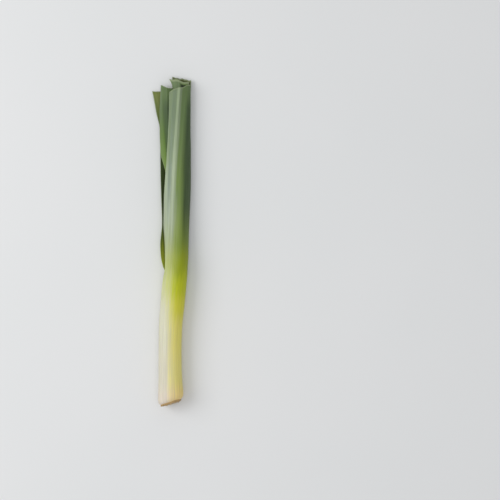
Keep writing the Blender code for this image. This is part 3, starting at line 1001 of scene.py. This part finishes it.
def leaf_grain(n, at, seed):
    """Noises drawn out along the leaf: fine streaks, broad bands and blotches."""

    def drawn_out(across, along, shift, **detail):
        place = n.point(n.times(at.across, across), n.times(at.along, along), seed + shift)
        return n.noise(place, **detail)

    return Grain(
        streak=drawn_out(1.3, 0.035, 0.0, detail=4.0, roughness=0.6),
        band=drawn_out(0.42, 0.016, 5.0),
        mottle=drawn_out(0.30, 0.09, 9.0, detail=4.0, roughness=0.6),
    )


def with_bloom(n, at, grain, turned, look, colour):
    """Adds the grey wax, thinner on the greener side and towards the tips, and bluer in a band."""
    waxy = n.times(
        n.ramp(at.along, *BLOOM_IN),
        n.ramp(at.along, *BLOOM_OUT, 1.0, 0.30),
        n.ramp(grain.mottle, 0.30, 0.66, 0.75, 1.0),
        n.ramp(grain.streak, 0.32, 0.56, 0.70, 1.04),
        n.ramp(turned, 0.0, 0.55, 0.95, 0.06),
        n.ramp(at.along, *TIP_BLOOM_IN, look.bloom, look.tip_bloom),
    )
    from_band = n.calc("ABSOLUTE", n.plus(at.across, BLUE_AT))
    bluish = n.times(n.ramp(from_band, *BLUE_WIDTH, 0.8, 0.0), n.ramp(at.along, *BLUE_IN))
    return n.mix(waxy, colour, n.mix(bluish, BLOOM, BLUE_BLOOM))


def with_deep_green_and_shade(n, at, look, colour):
    """Adds the darkest green down one side of the leaf, partly its own colour and partly painted shade."""
    across = n.plus(at.across, n.ramp(at.along, *DEEP_SHADE_WIDENS, 0.0, 0.9))
    on_side = n.ramp(across, look.deep_from, look.deep_to, 0.0, look.deep)
    on_length = n.times(n.ramp(at.along, *DEEP_SHADE_IN), n.ramp(at.to_end, *DEEP_SHADE_BACK_IN, 0.4, 1.0))
    return n.mix(n.times(on_side, on_length), colour, DEEP_GREEN_AND_SHADE)


def with_keel_stripe_and_highlight(n, at, look, colour):
    """Adds the pale stripe down the keel, partly the midrib's own paler colour and partly a painted
    highlight.
    """
    stripe = n.times(
        n.ramp(n.calc("ABSOLUTE", n.plus(at.across, STRIPE_AT)), *STRIPE_WIDTH, 0.35 * look.bloom, 0.0),
        n.ramp(at.along, *STRIPE_IN),
        n.ramp(at.along, *STRIPE_OUT, 1.0, 0.45),
    )
    return n.mix(stripe, colour, PALE_AND_HIGHLIGHT)


def with_edges(n, at, streak, look, colour):
    """Adds a painted shadow behind the cut edge, a painted highlight along the margins, the lighter cut
    edge, and the cut itself.
    """
    # Painted shadow: near-black just behind the cut edge, under the leaf above
    dark = n.times(
        n.ramp(at.across, look.dark_from, look.dark_from + PAINTED_SHADOW_SIDE, 0.0, 0.9),
        n.ramp(at.to_end, look.edge, look.edge + PAINTED_SHADOW_START),
        n.ramp(at.to_end, *PAINTED_SHADOW_OUT, 1.0, 0.0),
    )
    colour = n.mix(dark, colour, PAINTED_SHADOW)
    # Painted highlight: a light line along the margins and their rims
    margin = n.ramp(at.to_margin, *MARGIN_HIGHLIGHT_WIDTH, 0.25, 0.0)
    colour = n.mix(n.times(margin, n.ramp(at.along, *MARGIN_HIGHLIGHT_IN)), colour, PALE_AND_HIGHLIGHT)
    edge = n.ramp(at.to_end, 0.6 * look.edge, look.edge, look.edge_share, 0.0)
    colour = n.mix(edge, colour, EDGE_LIGHT)
    cut_face = n.mix(n.ramp(streak, 0.35, 0.6), CUT_DRY, CUT_PALE)
    return n.mix(at.cut, colour, cut_face)


def leaf_material(name, seed, look):
    """Living leaf: cream at the root, lime at the throat, then green under a grey waxy bloom."""
    n = Nodes(name)
    at = Facts(*(n.fact(fact) for fact in Facts._fields))
    grain = leaf_grain(n, at, seed)
    drift = n.plus(n.swing(grain.band, 24.0), n.swing(grain.streak, 14.0))
    place = n.plus(at.along, n.times(drift, n.ramp(at.along, *DRIFT_IN)))
    between = n.times(at.turned, n.calc("SUBTRACT", 1.0, at.turned))
    turned = n.plus(at.turned, n.times(between, n.swing(grain.streak, 6.0)))
    colour = n.mix(turned, n.colours(place, PALE_SIDE), n.colours(place, GREEN_SIDE))
    colour = with_bloom(n, at, grain, turned, look, colour)
    colour = with_deep_green_and_shade(n, at, look, colour)
    colour = with_keel_stripe_and_highlight(n, at, look, colour)
    bands = n.swing(grain.band, n.ramp(at.along, *BANDS_IN, 0.1, 0.7))
    shade = n.plus(n.plus(n.swing(grain.streak, 0.5), bands), 1.0)
    colour = n.shaded(colour, shade, n.ramp(at.along, *VIVID_OUT, look.vivid, 1.0))
    # The inside's colour; its near-black middle stretch, and leaf_4's dimmer inside, are painted shade
    inner = n.shaded(n.colours(place, INSIDE_AND_SHADE), look.inside)
    colour = n.mix(n.times(at.inside, 0.92), colour, inner)
    colour = with_edges(n, at, grain.streak, look, colour)
    # Twice as many fine veins as the mesh has raised ones
    vein = n.calc("SINE", n.times(at.across, 4 * math.pi / VEIN_SPACING))
    height = n.plus(n.times(vein, 0.25), n.plus(grain.streak, n.times(grain.mottle, 0.5)))
    rough = n.calc("SUBTRACT", n.ramp(grain.mottle, 0.3, 0.7, 0.42, 0.54), n.times(at.inside, 0.12))
    for setting, value in LEAF_FLESH.items():
        n.shader.inputs[setting].default_value = value
    return n.finish(colour, rough, n.bump(height, 0.5, 0.06))


def root_material(name):
    """Dry tan root plate, browner round its rim, with paler ends on the cut roots."""
    n = Nodes(name)
    place = n.add("ShaderNodeTexCoord", {}, "Object")
    grain = n.noise(place, 900.0, 5.0, 0.65)
    patch = n.noise(place, 260.0, 3.0)
    colour = n.mix(n.ramp(patch, 0.35, 0.65), ROOT_TAN, ROOT_SANDY)
    colour = n.mix(n.ramp(n.fact("from_axis"), 5.0, ROOT_RADIUS), colour, ROOT_RIM)
    colour = n.mix(n.ramp(n.fact("stands_out"), 0.15, 0.6), colour, STUB_END)
    colour = n.shaded(colour, n.ramp(grain, 0.25, 0.75, 0.70, 1.25))
    rough = n.ramp(grain, 0.3, 0.7, 0.62, 0.85)
    return n.finish(colour, rough, n.bump(grain, 0.8, 0.12))


def floor_material():
    n = Nodes("pale_floor")
    grain = n.noise(n.add("ShaderNodeTexCoord", {}, "Object"), 6.0, 3.0)
    colour = n.mix(n.ramp(grain, 0.3, 0.7), FLOOR_GREY, FLOOR_PALE)
    return n.finish(colour, n.ramp(grain, 0.3, 0.7, 0.6, 0.7), n.bump(grain, 0.02, 0.1))


# The studio, in metres

FLOOR_REACH = 2.5
FLOOR_DROP = 0.0001
FILL_COLOUR = (0.95, 0.97, 1.0, 1.0)
FILL_STRENGTH = 0.53
# Each light's name, place, size and power in watts
SOFTBOXES = [
    ("key", (-0.75, 0.15, 0.75), 0.7, 5.4),
    ("top", (0.1, -0.2, 1.6), 1.0, 4.8),
]
CAMERA_HEIGHT = 1.2
# What the picture spans at the level of the leek's axis
VIEW_WIDTH = 0.300
VIEW_LEVEL = 0.007
# In millimetres: the middle of the photographed tray, which the camera is over, and the sensor's width
CAMERA_X = 43.8
CAMERA_ALONG = 94.2
CAMERA_SENSOR = 36.0


def make_studio():
    mesh = bpy.data.meshes.new("floor")
    signs = [(-1, -1), (1, -1), (1, 1), (-1, 1)]
    mesh.from_pydata([(x * FLOOR_REACH, y * FLOOR_REACH, 0) for x, y in signs], [], [(0, 1, 2, 3)])
    floor = bpy.data.objects.new("floor", mesh)
    floor.location.z = -FLOOR_DROP
    mesh.materials.append(floor_material())
    bpy.context.scene.collection.objects.link(floor)
    world = bpy.data.worlds.new("studio")
    bpy.context.scene.world = world
    world.use_nodes = True
    fill = world.node_tree.nodes["Background"]
    fill.inputs["Color"].default_value = FILL_COLOUR
    fill.inputs["Strength"].default_value = FILL_STRENGTH
    for name, place, size, power in SOFTBOXES:
        add_softbox(name, place, size, power)


def add_softbox(name, place, size, power):
    """A square light that faces the leek."""
    light = bpy.data.lights.new(name, "AREA")
    light.shape = "SQUARE"
    light.size = size
    light.energy = power
    lamp = bpy.data.objects.new(name, light)
    lamp.location = place
    lamp.rotation_mode = "QUATERNION"
    lamp.rotation_quaternion = (-Vector(place)).to_track_quat("-Z", "Y")
    bpy.context.scene.collection.objects.link(lamp)


def make_camera():
    """Straight above, and off to the right of this leek, as the photographed tray's middle was."""
    data = bpy.data.cameras.new("camera")
    camera = bpy.data.objects.new("camera", data)
    data.sensor_width = CAMERA_SENSOR
    data.lens = CAMERA_SENSOR * (CAMERA_HEIGHT - VIEW_LEVEL) / VIEW_WIDTH
    aim = row_points(np.array([complex(CAMERA_X)]), CAMERA_ALONG)[0] * MM
    camera.location = (aim[0], aim[1], CAMERA_HEIGHT)
    bpy.context.scene.collection.objects.link(camera)
    bpy.context.scene.camera = camera


def main():
    bpy.context.scene.view_settings.view_transform = "Standard"
    sheath = make_sheath(LEAVES[0], SHEATH_SEED)
    sheath.data.materials.append(leaf_material("sheath_skin", 1.0, LOOKS["leaf_1"]))
    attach(sheath, "root")
    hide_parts("shank", "leaf_1")
    for leaf in LEAVES[1:]:
        blade = make_leaf(leaf, BLADE_SEEDS[leaf.name])
        skin = leaf_material(leaf.name + "_skin", 1.0 + leaf.ring, LOOKS[leaf.name])
        blade.data.materials.append(skin)
        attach(blade, "root")
        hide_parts(leaf.name)
    plate = make_root_plate(ROOT_SEED)
    plate.data.materials.append(root_material("root_fibre"))
    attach(plate, "root")
    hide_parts("root_plate")
    make_studio()
    make_camera()


main()
